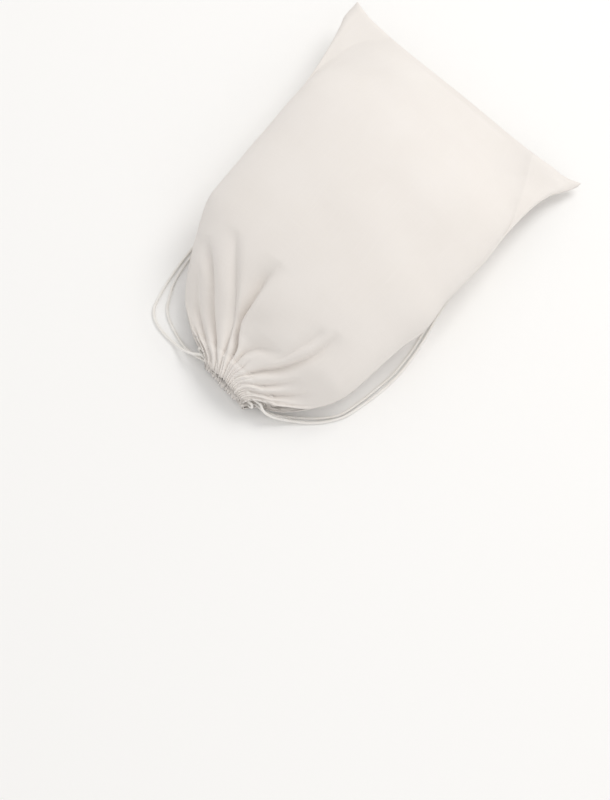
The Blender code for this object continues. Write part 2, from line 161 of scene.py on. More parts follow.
# %% Measures of the bag
FILLED_LENGTH = 0.269
FILLED_WIDTH = 0.174
FILLED_HEIGHT = 0.069
SOLID_WALL = 0.001
PIECE_GAP = 0.0003
BOTTOM_SAG = 0.0095
BOTTOM_SKEW = 0.003
RIM_SKEW = 0.0028
CASING_DEPTH = 0.014
CORD_DIAMETER = 0.002
HALF_CHANNEL = CORD_DIAMETER / 2 + 0.0006 + SOLID_WALL
PANEL_START = (CASING_DEPTH + PIECE_GAP) / FILLED_LENGTH
CASING_SHARE = CASING_DEPTH / FILLED_LENGTH
NECK_END = 0.16
CROWN_ROUNDNESS, BELLY_ROUNDNESS, NECK_ROUNDNESS = 1.0, 1.4, 3.0
EAR_FLATNESS = 1.8
CREASE_SHARPNESS = 1.4
# How much of the casing's depth the round fold at the rim takes.
NOSE_SHARE = 0.22
FRONT, BACK = 1.0, -1.0

SECTION_COLUMNS = "along left right flap left_z middle_z right_z crown belly".split()
SECTIONS = np.array(
    [
        (0.00, -0.052, 0.163, 0.000, 0.145, 0.145, 0.145, 0.065, 0.040),
        (0.02, -0.092, 0.188, 0.002, 0.147, 0.147, 0.147, 0.085, 0.042),
        (0.05, -0.190, 0.278, 0.006, 0.150, 0.150, 0.150, 0.135, 0.046),
        (0.10, -0.296, 0.374, 0.014, 0.190, 0.185, 0.178, 0.270, 0.160),
        (0.17, -0.371, 0.448, 0.017, 0.320, 0.290, 0.260, 0.370, 0.315),
        (0.25, -0.433, 0.471, 0.017, 0.435, 0.390, 0.333, 0.430, 0.470),
        (0.33, -0.477, 0.489, 0.017, 0.507, 0.450, 0.391, 0.455, 0.580),
        (0.42, -0.487, 0.514, 0.017, 0.536, 0.478, 0.420, 0.480, 0.640),
        (0.50, -0.498, 0.502, 0.017, 0.536, 0.493, 0.435, 0.490, 0.660),
        (0.63, -0.514, 0.504, 0.017, 0.522, 0.478, 0.420, 0.480, 0.640),
        (0.75, -0.548, 0.484, 0.023, 0.478, 0.435, 0.362, 0.440, 0.570),
        (0.85, -0.589, 0.477, 0.050, 0.435, 0.391, 0.275, 0.350, 0.430),
        (0.92, -0.625, 0.487, 0.103, 0.406, 0.377, 0.188, 0.225, 0.340),
        (0.96, -0.647, 0.511, 0.155, 0.391, 0.370, 0.145, 0.125, 0.210),
        (1.00, -0.652, 0.534, 0.207, 0.377, 0.362, 0.116, 0.000, 0.000),
    ]
)


def gentle_slopes(places, values):
    rises = np.diff(values) / np.diff(places)
    slopes = np.empty(len(values))
    slopes[0], slopes[-1] = rises[0], rises[-1]
    for i in range(1, len(rises)):
        before, after = rises[i - 1], rises[i]
        slopes[i] = 0.0 if before * after <= 0 else 2 * before * after / (before + after)
    return slopes


def smooth_table(places, values, at):
    """A curve through the table's values that never overshoots them."""
    places, values = np.asarray(places, float), np.asarray(values, float)
    slopes = gentle_slopes(places, values)
    at = np.clip(at, places[0], places[-1])
    i = np.clip(np.searchsorted(places, at, side="right") - 1, 0, len(places) - 2)
    step = places[i + 1] - places[i]
    t = (at - places[i]) / step
    return (
        values[i] * (1 + 2 * t) * (1 - t) ** 2
        + slopes[i] * step * t * (1 - t) ** 2
        + values[i + 1] * t * t * (3 - 2 * t)
        + slopes[i + 1] * step * t * t * (t - 1)
    )


def section(name, along):
    column = SECTION_COLUMNS.index(name)
    return smooth_table(SECTIONS[:, 0], SECTIONS[:, column], along)


def smooth_step(low, high, value):
    t = np.clip((value - low) / (high - low), 0.0, 1.0)
    return t * t * (3 - 2 * t)


print("sections:", len(SECTIONS), "body width", FILLED_WIDTH, "m")

# %% [markdown]
# A point on a panel is named by two numbers. `along` runs from the rim (0) to the
# bottom seam (1). `turn` is the angle round the section, from the left seam at -90
# degrees over the crown to the right seam at 90, and `flap` goes on from there over
# the flat seam flap, which grows into an ear at each bottom corner.


# %% Where a point of a panel lies
def ear_share(along):
    """1 where the seam flap stands off the body: in the neck and at the ears."""
    return 1 - smooth_step(0.05, 0.12, along) * (1 - smooth_step(0.70, 0.86, along))


# Dents: x, y, length and width in metres, angle in degrees, depth. Both layers of the
# cloth sink together at the ears and along the left seam.
EAR_DENTS = [
    (0.0800, 0.1400, 0.011, 0.0062, -8.0, 0.0036),
    (0.0725, 0.1165, 0.014, 0.0075, 75.0, 0.0016),
    (-0.1010, 0.1360, 0.018, 0.010, 70.0, 0.0012),
]
# Creases: from x, y to x, y, width and depth. A negative depth is a ridge.
EAR_CREASES = [
    (-0.1080, 0.1300, -0.0930, 0.0840, 0.0030, 0.0009),
    (-0.0930, 0.0840, -0.0860, 0.0500, 0.0040, 0.0005),
    (0.0650, 0.1385, 0.0850, 0.1285, 0.0030, -0.0011),
    (0.0850, 0.1280, 0.0835, 0.1020, 0.0035, -0.0010),
    (0.0660, 0.1240, 0.0500, 0.0980, 0.0060, 0.0008),
]


def dent_depth(x, y, dents):
    depth = np.zeros_like(x)
    for at_x, at_y, long, wide, angle, deep in dents:
        c, s = math.cos(math.radians(angle)), math.sin(math.radians(angle))
        u = ((x - at_x) * c + (y - at_y) * s) / long
        v = (-(x - at_x) * s + (y - at_y) * c) / wide
        depth = depth + deep * np.exp(-(u**2) - v**2)
    return depth


def crease_depth(x, y, creases):
    depth = np.zeros_like(x)
    for x0, y0, x1, y1, wide, deep in creases:
        length = math.hypot(x1 - x0, y1 - y0)
        t = ((x - x0) * (x1 - x0) + (y - y0) * (y1 - y0)) / length**2
        aside = ((x - x0) * (y1 - y0) - (y - y0) * (x1 - x0)) / length
        ends = smooth_step(-0.15, 0.25, t) * (1 - smooth_step(0.75, 1.15, t))
        depth = depth + deep * ends * np.exp(-np.abs(aside / wide) ** CREASE_SHARPNESS)
    return depth


def plan_place(along, turn, flap):
    left = section("left", along) * FILLED_WIDTH
    right = section("right", along) * FILLED_WIDTH
    flap_width = section("flap", along) * FILLED_WIDTH * ear_share(along)
    half_body = (right - left) / 2 - flap_width
    x = (left + right) / 2 + half_body * np.sin(turn) + flap_width * flap
    across = np.clip((x - (left + right) / 2) / ((right - left) / 2), -1.0, 1.0)
    rim_y = -FILLED_LENGTH / 2 - RIM_SKEW * across
    seam_y = FILLED_LENGTH / 2 + BOTTOM_SAG * across**4 - BOTTOM_SKEW * across
    y = rim_y + np.clip(along, 0.0, 1.0) * (seam_y - rim_y)
    left_z, middle_z = section("left_z", along), section("middle_z", along)
    right_z = section("right_z", along)
    mean, lean = (left_z + right_z) / 2, (right_z - left_z) / 2
    base = middle_z + lean * across + (mean - middle_z) * across**2
    sunk = dent_depth(x, y, EAR_DENTS) + crease_depth(x, y, EAR_CREASES)
    return x, y, base * FILLED_HEIGHT - sunk


def swell_of(side, along, turn):
    """How far a panel stands off its seams at a place."""
    body = CROWN_ROUNDNESS if side == FRONT else BELLY_ROUNDNESS
    neck = 1 - smooth_step(CASING_SHARE, NECK_END, along)
    power = body + (NECK_ROUNDNESS - body) * neck
    # Near the ears the body runs smoothly into the flat flap.
    power = power + EAR_FLATNESS * smooth_step(0.70, 0.90, along)
    cosine = np.cos(turn)
    swell = section("crown" if side == FRONT else "belly", along) * FILLED_HEIGHT
    return swell * np.sign(cosine) * np.abs(cosine) ** power


def slit_of(along):
    """Half of the opening between the panels, which is there only in the neck."""
    closing = smooth_step(PANEL_START, PANEL_START + CASING_SHARE, along)
    return (HALF_CHANNEL - SOLID_WALL / 2) * (1 - closing)


def hem_nose(depth):
    """The round fold at the rim: 0 at its edge, 1 where it is full height."""
    return np.sqrt(np.clip(1 - (1 - np.clip(depth / NOSE_SHARE, 0, 1)) ** 2, 0, 1))


def hem_bulge(along):
    """How much the cords lift the folded hem, from the rim to its stitch line."""
    depth = along / CASING_SHARE
    return hem_nose(depth) * (1 - smooth_step(0.50, 2.0, depth))


print("channel height:", round(2000 * HALF_CHANNEL, 1), "mm")

# %% [markdown]
# ## The drawcords
#
# A drawcord is soft twisted cotton, about 2 mm thick. Each of the two goes in at one
# side of the bag, through one panel's channel, round the far side, back through the
# other panel's channel and out where it went in, and a knot joins its two ends. Pulled
# against each other, they shut the mouth. Each cord is about 0.63 m long, its knot
# included. The ends lie in loose curves on the floor and run out of sight under the
# flanks of the bag, so the knots are put there, close to the bag.
#
# The routes come before the cloth, because the cloth has to leave room for them.

# %% Routes of the four cord ends, from the casing to the knot
LEFT_CORD_DEPTH, RIGHT_CORD_DEPTH = 0.26, 0.50
ROUTE_STEP, KNOT_STEP = 0.001, 0.0006
ROUTE_SAMPLES = 40
# The cord's turn at the far side of the casing, in cord diameters.
BEND_RADIUS, BEND_CLEAR = 0.65, 0.6
ROUTES = {
    "left_front": [
        (-0.0218, -0.1300, 0.0105), (-0.0270, -0.1304, 0.0078),
        (-0.0340, -0.1300, 0.0040), (-0.0410, -0.1292, 0.0017),
        (-0.0480, -0.1285, 0.0011), (-0.0564, -0.1267, 0.0011),
        (-0.0639, -0.1228, 0.0011), (-0.0688, -0.1172, 0.0011),
        (-0.0723, -0.1070, 0.0011), (-0.0758, -0.0927, 0.0011),
        (-0.0785, -0.0760, 0.0011), (-0.0800, -0.0580, 0.0011),
        (-0.0805, -0.0350, 0.0011), (-0.0812, -0.0100, 0.0011),
        (-0.0822, 0.0120, 0.0011), (-0.0824, 0.0290, 0.0016),
    ],
    "left_back": [
        (-0.0218, -0.1283, 0.0058), (-0.0270, -0.1276, 0.0036),
        (-0.0350, -0.1262, 0.0014), (-0.0439, -0.1230, 0.0011),
        (-0.0516, -0.1196, 0.0011), (-0.0572, -0.1164, 0.0011),
        (-0.0622, -0.1115, 0.0011), (-0.0666, -0.1040, 0.0011),
        (-0.0709, -0.0952, 0.0011), (-0.0739, -0.0845, 0.0011),
        (-0.0760, -0.0700, 0.0011), (-0.0770, -0.0520, 0.0011),
        (-0.0773, -0.0300, 0.0011), (-0.0782, -0.0080, 0.0011),
        (-0.0797, 0.0120, 0.0011), (-0.0800, 0.0290, 0.0016),
    ],
    "right_front": [
        (0.0422, -0.1316, 0.0104), (0.0485, -0.1290, 0.0064), (0.0589, -0.1214, 0.0026),
        (0.0686, -0.1139, 0.0011), (0.0766, -0.1051, 0.0011), (0.0823, -0.0954, 0.0011),
        (0.0858, -0.0814, 0.0011), (0.0884, -0.0663, 0.0011), (0.0895, -0.0513, 0.0011),
        (0.0888, -0.0390, 0.0011), (0.0874, -0.0270, 0.0011), (0.0850, -0.0140, 0.0011),
        (0.0818, 0.0000, 0.0011), (0.0796, 0.0140, 0.0011), (0.0780, 0.0280, 0.0011),
        (0.0774, 0.0400, 0.0016),
    ],
    "right_back": [
        (0.0420, -0.1296, 0.0056), (0.0480, -0.1252, 0.0024), (0.0582, -0.1177, 0.0011),
        (0.0697, -0.1086, 0.0011), (0.0788, -0.0975, 0.0011), (0.0828, -0.0822, 0.0011),
        (0.0854, -0.0650, 0.0011), (0.0866, -0.0500, 0.0011), (0.0858, -0.0360, 0.0011),
        (0.0838, -0.0220, 0.0011), (0.0808, -0.0080, 0.0011), (0.0779, 0.0070, 0.0011),
        (0.0758, 0.0220, 0.0011), (0.0750, 0.0400, 0.0016),
    ],
}
# An overhand knot of three lobes, in multiples of KNOT_CORD.
KNOT_CORD = 0.0026
KNOT_ROUTE = [
    (-3.30, -1.60, -0.62), (-2.20, -1.45, -0.62), (-1.15, -1.19, -0.58),
    (-0.03, -0.93, -0.46), (0.71, -0.48, 0.39), (1.56, 0.28, 0.60), (1.47, 1.41, 0.26),
    (0.55, 1.98, -0.23), (-0.49, 1.54, -0.59), (-0.78, 0.43, -0.42),
    (-0.78, -0.43, 0.42), (-0.49, -1.54, 0.59), (0.55, -1.98, 0.23),
    (1.47, -1.41, -0.26), (1.56, -0.28, -0.60), (0.71, 0.48, -0.39),
    (-0.03, 0.93, 0.46), (-1.15, 1.19, 0.58), (-2.15, 1.45, 0.20), (-3.10, 1.62, -0.45),
    (-4.10, 1.70, -0.62),
]


def channel_middle(side, depth, turn):
    along = depth * CASING_SHARE
    x, y, base = plan_place(along, turn, 0.0)
    rise = PIECE_GAP / 2 + HALF_CHANNEL + swell_of(side, along, turn)
    return np.array([float(x), float(y), float(base + side * rise)])


def smooth_route(route, step):
    """Points one step apart on a smooth curve through the route's points."""
    route = np.array(route, dtype=float)
    padded = np.vstack([2 * route[0] - route[1], route, 2 * route[-1] - route[-2]])
    fine = []
    for i in range(1, len(padded) - 2):
        a, b, c, d = padded[i - 1 : i + 3]
        for t in np.linspace(0.0, 1.0, ROUTE_SAMPLES, endpoint=False):
            cubic = (2 * a - 5 * b + 4 * c - d) * t**2 + (3 * b - a - 3 * c + d) * t**3
            fine.append(0.5 * (2 * b + (c - a) * t + cubic))
    fine = np.array(fine + [padded[-2]])
    run = np.append(0.0, np.cumsum(np.linalg.norm(np.diff(fine, axis=0), axis=1)))
    marks = np.linspace(0.0, run[-1], max(2, round(run[-1] / step)) + 1)
    return np.stack([np.interp(marks, run, fine[:, k]) for k in range(3)], axis=1)


def length_of(points):
    return float(np.linalg.norm(np.diff(points, axis=0), axis=1).sum())


def strand_path(name, leaving, side, depth):
    start = channel_middle(side, depth, leaving * math.pi / 2)
    start[0] += leaving * (CORD_DIAMETER / 2 + PIECE_GAP)
    straight = start + np.array([leaving * CORD_DIAMETER, 0.0, 0.0])
    return smooth_route([start, straight] + ROUTES[name], ROUTE_STEP)


def casing_path(leaving, depth):
    """A cord's way through both channels and back to the side where it went in."""
    turns = np.linspace(leaving, -leaving, 15) * math.pi / 2
    front = [channel_middle(FRONT, depth, turn) for turn in turns]
    back = [channel_middle(BACK, depth, turn) for turn in turns[::-1]]
    radius, clear = BEND_RADIUS * CORD_DIAMETER, BEND_CLEAR * CORD_DIAMETER
    bend = []
    for end, sign in ((front[-1], 1), (back[0], -1)):
        quarter = []
        for angle in np.linspace(0.0, math.pi / 2, 3):
            out = -leaving * (clear + radius * math.sin(angle))
            fall = -sign * radius * (1 - math.cos(angle))
            quarter.append(end + np.array([out, 0.0, fall]))
        bend += quarter if sign == 1 else quarter[::-1]
    past = np.array([leaving * CORD_DIAMETER / 2, 0.0, 0.0])
    route = [front[0] + past] + front + bend + back + [back[-1] + past]
    return smooth_route(route, ROUTE_STEP)


def knot_path(first, second, leaving):
    ends, before = (first[-1] + second[-1]) / 2, (first[-3] + second[-3]) / 2
    heading = (ends - before) * (1, 1, 0)
    heading = heading / np.linalg.norm(heading)
    across = leaving * np.array([-heading[1], heading[0], 0.0])
    route = np.array(KNOT_ROUTE) * KNOT_CORD
    start = ends + heading * PIECE_GAP - heading * route[0, 0] - across * route[0, 1]
    points = start + np.outer(route[:, 0], heading) + np.outer(route[:, 1], across)
    points[:, 2] = route[:, 2] - route[:, 2].min() + KNOT_CORD / 2 + PIECE_GAP / 3
    return smooth_route(points, KNOT_STEP)


CORDS = {}
for name, leaving, depth in (
    ("left", -1, LEFT_CORD_DEPTH),
    ("right", 1, RIGHT_CORD_DEPTH),
):
    front = strand_path(f"{name}_front", leaving, FRONT, depth)
    back = strand_path(f"{name}_back", leaving, BACK, depth)
    CORDS[name] = {
        "front_strand": front,
        "back_strand": back,
        "in_casing": casing_path(leaving, depth),
        "knot": knot_path(front, back, leaving),
    }
    print(name, {k: round(1000 * length_of(v)) for k, v in CORDS[name].items()}, "mm")

# %% [markdown]
# A twisted cord is three plies wound round each other. Modelling that by hand would
# mean one long spiral for each ply, so a node tree does it: it takes any path, copies
# it three times, pushes each copy sideways by an angle that grows with the length
# already covered, and gives each copy a round section.


# %% Node tree: twisted cord along a path
GEOMETRY, NUMBER, VECTOR = "NodeSocketGeometry", "NodeSocketFloat", "NodeSocketVector"
CORD_LAY, PLY_STEP, PLIES = 0.0052, 0.0006, 3
# Three round plies that touch, in cord diameters.
PLY_OFFSET, PLY_RADIUS = 0.268, 0.246


def add_socket(tree, name, kind, default=None, out=False):
    socket = tree.interface.new_socket(
        name, in_out="OUTPUT" if out else "INPUT", socket_type=kind
    )
    if default is not None:
        socket.default_value = default


def set_inputs(tree, node, inputs):
    """Links other nodes' sockets to a node's inputs, or sets plain values there."""
    for name, value in dict(inputs).items():
        if isinstance(value, bpy.types.NodeSocket):
            tree.links.new(value, node.inputs[name])
        else:
            node.inputs[name].default_value = value


def add_node(tree, kind, inputs=(), **settings):
    node = tree.nodes.new(kind)
    for name, value in settings.items():
        setattr(node, name, value)
    set_inputs(tree, node, inputs)
    return node


def math_node(tree, operation, first, second=None):
    inputs = {0: first} if second is None else {0: first, 1: second}
    return add_node(tree, "ShaderNodeMath", inputs, operation=operation).outputs[0]


def vector_node(tree, operation, inputs):
    node = add_node(tree, "ShaderNodeVectorMath", inputs, operation=operation)
    return node.outputs[0]


def finish_tree(tree, shape, material):
    """Makes the copies real, gives them their material and hands them out."""
    real = add_node(tree, "GeometryNodeRealizeInstances", {0: shape}).outputs[0]
    inputs = {"Geometry": real, "Material": material}
    paint = add_node(tree, "GeometryNodeSetMaterial", inputs)
    add_node(tree, "NodeGroupOutput", {0: paint.outputs[0]})


def build_cord_tree():
    tree = bpy.data.node_groups.new("twisted_cord", "GeometryNodeTree")
    add_socket(tree, "Path", GEOMETRY)
    add_socket(tree, "Diameter", NUMBER, CORD_DIAMETER)
    add_socket(tree, "Lay", NUMBER, CORD_LAY)
    add_socket(tree, "Step", NUMBER, PLY_STEP)
    add_socket(tree, "Material", "NodeSocketMaterial")
    add_socket(tree, "Cord", GEOMETRY, out=True)
    given = add_node(tree, "NodeGroupInput").outputs
    inputs = {"Curve": given["Path"], "Length": given["Step"]}
    path = add_node(tree, "GeometryNodeResampleCurve", inputs, mode="LENGTH").outputs[0]
    offset = math_node(tree, "MULTIPLY", given["Diameter"], PLY_OFFSET)
    radius = math_node(tree, "MULTIPLY", given["Diameter"], PLY_RADIUS)
    inputs = {"Resolution": 8, "Radius": radius}
    circle = add_node(tree, "GeometryNodeCurvePrimitiveCircle", inputs).outputs[0]
    place = add_node(tree, "GeometryNodeSplineParameter").outputs["Length"]
    turns = math_node(tree, "DIVIDE", place, given["Lay"])
    angle = math_node(tree, "MULTIPLY", turns, 2 * math.pi)
    normal = add_node(tree, "GeometryNodeInputNormal").outputs[0]
    tangent = add_node(tree, "GeometryNodeInputTangent").outputs[0]
    binormal = vector_node(tree, "CROSS_PRODUCT", {0: tangent, 1: normal})
    join = add_node(tree, "GeometryNodeJoinGeometry")
    for ply in range(PLIES):
        phase = math_node(tree, "ADD", angle, ply * 2 * math.pi / PLIES)
        aside = math_node(tree, "MULTIPLY", math_node(tree, "COSINE", phase), offset)
        above = math_node(tree, "MULTIPLY", math_node(tree, "SINE", phase), offset)
        aside = vector_node(tree, "SCALE", {0: normal, "Scale": aside})
        above = vector_node(tree, "SCALE", {0: binormal, "Scale": above})
        shift = vector_node(tree, "ADD", {0: aside, 1: above})
        inputs = {"Geometry": path, "Offset": shift}
        move = add_node(tree, "GeometryNodeSetPosition", inputs).outputs[0]
        inputs = {"Curve": move, "Profile Curve": circle, "Fill Caps": True}
        sweep = add_node(tree, "GeometryNodeCurveToMesh", inputs)
        tree.links.new(sweep.outputs[0], join.inputs[0])
    finish_tree(tree, join.outputs[0], given["Material"])
    return tree


cord_tree = build_cord_tree()
print("cord tree:", len(cord_tree.nodes), "nodes")

# %% [markdown]
# ## Materials
#
# The cloth is thin plain-woven cotton: each thread goes over one and under the next,
# and some threads are thicker in places, which cotton workers call slubs. The weave
# is a node group, so that the bag and its hem share it with their own values. It reads
# the cloth's own flat pattern, kept as a UV map in metres, and so the threads follow
# the cloth into every fold. The group puts out a height and a mask only, and the
# shader that uses them stays in each material.


# %% Shared effects: plain weave and mottle
THREADS_PER_METRE, THREAD_WANDER = 2100.0, 0.0012
# Noise scales across and along a thread, so that its slubs are long.
SLUB_FINE, SLUB_LONG = 1500.0, 26.0
SPECKS_SCALE, SPECK_SIZE = 150.0, 0.035


def noise_node(tree, vector, scale, detail, roughness=0.5):
    inputs = {"Vector": vector, "Scale": scale, "Detail": detail, "Roughness": roughness}
    return add_node(tree, "ShaderNodeTexNoise", inputs).outputs[0]


def thread_noise(tree, cloth, x, y):
    inputs = {"Vector": cloth, "Scale": (x, y, 1.0)}
    mapped = add_node(tree, "ShaderNodeMapping", inputs).outputs[0]
    return noise_node(tree, mapped, 1.0, 2.0)


def build_weave_group():
    tree = bpy.data.node_groups.new("plain_weave", "ShaderNodeTree")
    add_socket(tree, "Cloth", VECTOR)
    add_socket(tree, "Threads per metre", NUMBER, THREADS_PER_METRE)
    add_socket(tree, "Slub", NUMBER, 0.6)
    add_socket(tree, "Height", NUMBER, out=True)
    add_socket(tree, "Slub mask", NUMBER, out=True)
    given = add_node(tree, "NodeGroupInput").outputs
    cloth = given["Cloth"]
    # Threads wander a little, so the grid is bent by a soft noise before it is cut.
    bend = add_node(tree, "ShaderNodeTexNoise", {"Vector": cloth, "Scale": 60.0})
    inputs = {0: bend.outputs["Color"], "Scale": THREAD_WANDER}
    bent = vector_node(tree, "ADD", {0: cloth, 1: vector_node(tree, "SCALE", inputs)})
    split = add_node(tree, "ShaderNodeSeparateXYZ", {0: bent})
    waves = []
    for axis in (0, 1):
        count = given["Threads per metre"]
        phase = math_node(tree, "MULTIPLY", split.outputs[axis], count)
        turn = math_node(tree, "MULTIPLY", phase, math.pi)
        waves.append(math_node(tree, "SINE", turn))
    # Where the product of the two waves is positive the warp is on top, elsewhere the
    # weft. Its size is high in the middle of each crossing and low between them.
    cross = math_node(tree, "MULTIPLY", waves[0], waves[1])
    weave = math_node(tree, "ABSOLUTE", cross)
    warp = thread_noise(tree, cloth, SLUB_FINE, SLUB_LONG)
    weft = thread_noise(tree, cloth, SLUB_LONG, SLUB_FINE)
    slubs = math_node(tree, "MAXIMUM", warp, weft)
    slub = math_node(tree, "MULTIPLY", slubs, given["Slub"])
    height = math_node(tree, "ADD", weave, slub)
    add_node(tree, "NodeGroupOutput", {"Height": height, "Slub mask": slubs})
    return tree


def build_mottle_group():
    tree = bpy.data.node_groups.new("cotton_mottle", "ShaderNodeTree")
    add_socket(tree, "Place", VECTOR)
    add_socket(tree, "Patches", NUMBER, 22.0)
    add_socket(tree, "Tone", NUMBER, out=True)
    add_socket(tree, "Specks", NUMBER, out=True)
    given = add_node(tree, "NodeGroupInput").outputs
    inputs = {"Vector": given["Place"], "Scale": given["Patches"], "Detail": 3.0}
    tone = add_node(tree, "ShaderNodeTexNoise", inputs).outputs[0]
    inputs = {"Vector": given["Place"], "Scale": SPECKS_SCALE}
    cells = add_node(tree, "ShaderNodeTexVoronoi", inputs)
    near = math_node(tree, "LESS_THAN", cells.outputs["Distance"], SPECK_SIZE)
    add_node(tree, "NodeGroupOutput", {"Tone": tone, "Specks": near})
    return tree


weave_group, mottle_group = build_weave_group(), build_mottle_group()
print("shared effects:", weave_group.name, mottle_group.name)


# %% Cotton cloth and cotton cord
SPECK_COLOR, SPECK_STRENGTH = (0.45, 0.33, 0.20), 0.12
# Thick threads catch a little more light than the gaps between thin ones.
THREAD_GAIN = 1.02


def mix_color(tree, factor, first, second):
    node = add_node(tree, "ShaderNodeMix", {"Factor": factor}, data_type="RGBA")
    for name, value in (("A", first), ("B", second)):
        socket = next(s for s in node.inputs if s.name == name and s.type == "RGBA")
        if isinstance(value, bpy.types.NodeSocket):
            tree.links.new(value, socket)
        else:
            socket.default_value = (*value, 1.0)
    return next(s for s in node.outputs if s.type == "RGBA")


def ramp(tree, value, low, high, to_low=0.0, to_high=1.0):
    names = ("Value", "From Min", "From Max", "To Min", "To Max")
    inputs = dict(zip(names, (value, low, high, to_low, to_high)))
    return add_node(tree, "ShaderNodeMapRange", inputs).outputs[0]


def new_material(name):
    material = bpy.data.materials.new(name)
    material.use_nodes = True
    tree = material.node_tree
    return material, tree, add_node(tree, "ShaderNodeTexCoord").outputs["Object"]


def finish_cotton(tree, height, strength, distance, inputs):
    bump = {"Height": height, "Strength": strength, "Distance": distance}
    normal = add_node(tree, "ShaderNodeBump", bump).outputs[0]
    more = {"Normal": normal, "Specular IOR Level": 0.2}
    set_inputs(tree, tree.nodes["Principled BSDF"], {**inputs, **more})


def cloth_material(name, color, shade, bump, slub):
    material, tree, place = new_material(name)
    flat = add_node(tree, "ShaderNodeUVMap", uv_map="cloth").outputs[0]
    weave = add_node(tree, "ShaderNodeGroup", node_tree=weave_group)
    set_inputs(tree, weave, {"Slub": slub, "Cloth": flat})
    mottle = add_node(tree, "ShaderNodeGroup", {"Place": place}, node_tree=mottle_group)
    toned = mix_color(tree, ramp(tree, mottle.outputs["Tone"], 0.3, 0.7), shade, color)
    light = tuple(min(1.0, c * THREAD_GAIN) for c in color)
    thread = ramp(tree, weave.outputs["Slub mask"], 0.55, 0.75, 0.0, 0.5)
    threaded = mix_color(tree, thread, toned, light)
    specks = math_node(tree, "MULTIPLY", mottle.outputs["Specks"], SPECK_STRENGTH)
    inputs = {
        "Base Color": mix_color(tree, specks, threaded, SPECK_COLOR),
        "Roughness": ramp(tree, weave.outputs["Height"], 0.0, 1.5, 0.95, 0.82),
        "Sheen Weight": 0.25,
        "Sheen Roughness": 0.6,
    }
    finish_cotton(tree, weave.outputs["Height"], bump, 0.00012, inputs)
    return material


def cord_material(name, color, shade):
    material, tree, place = new_material(name)
    fuzz = noise_node(tree, place, 2600.0, 3.0, 0.7)
    patch = noise_node(tree, place, 160.0, 2.0)
    inputs = {
        "Base Color": mix_color(tree, ramp(tree, patch, 0.35, 0.65), shade, color),
        "Roughness": ramp(tree, fuzz, 0.2, 0.8, 0.95, 0.75),
        "Sheen Weight": 0.3,
    }
    finish_cotton(tree, fuzz, 0.5, 0.00015, inputs)
    return material


muslin = cloth_material(
    "cotton_cloth", (0.870, 0.828, 0.790), (0.850, 0.805, 0.762), 0.5, 0.6
)
cord_cotton = cord_material("cotton_cord", (0.95, 0.93, 0.90), (0.92, 0.89, 0.85))
thread_cotton = cord_material("cotton_thread", (0.87, 0.83, 0.77), (0.80, 0.75, 0.67))
print("materials:", muslin.name, cord_cotton.name, thread_cotton.name)

# %% [markdown]
# ## Folds
#
# Where the mouth is pulled shut, two hundred millimetres of hem are squeezed into
# less than forty, so the cloth stands in narrow pleats. Away from the rim the small
# pleats run out and the big ones go on as folds, down to a third of the bag's length.
# Each fold is a valley line from the rim outwards, with a width on its left and on its
# right, and a depth. A narrow right side makes a fold whose right edge hangs over it.

